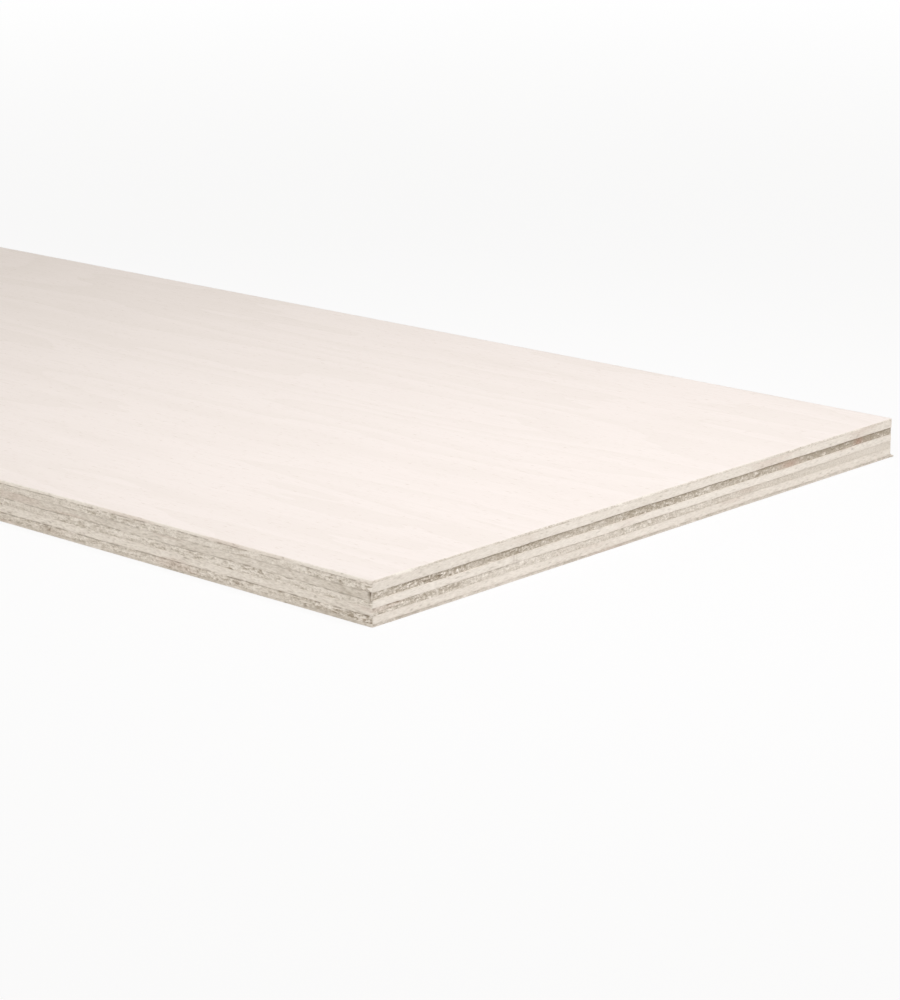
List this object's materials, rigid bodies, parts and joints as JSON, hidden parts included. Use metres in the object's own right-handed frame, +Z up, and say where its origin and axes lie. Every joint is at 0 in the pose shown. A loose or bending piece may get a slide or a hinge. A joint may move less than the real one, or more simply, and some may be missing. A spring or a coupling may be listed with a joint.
{
  "type": "plywood sheet",
  "caption": "Flat rectangular plywood sheet: thin pale face veneers over thicker cross-laid plies that show on its sawn edges; board stock to cut, glue and screw.",
  "frame": {"origin": "centre of the sheet's back face, where it lies on the floor", "axes": "+X along the length and the grain of the faces, +Y across the width, +Z up out of the face"},
  "size_m": [0.6, 0.3, 0.016],
  "materials": {
    "face_veneer": "pale peeled veneer, sanded, unfinished",
    "crossband": "pale peeled veneer, sawn edge: long grain on the ends, torn end grain on the long sides",
    "inner_ply": "greyish brown peeled veneer, sawn edge: torn end grain on the ends, long grain on the long sides"
  },
  "bodies": {
    "root": {"face_veneer": "face_veneer", "upper_crossband": "crossband", "upper_inner_ply": "inner_ply", "middle_crossband": "crossband", "lower_inner_ply": "inner_ply", "lower_crossband": "crossband", "back_veneer": "face_veneer"}
  },
  "joints": []
}
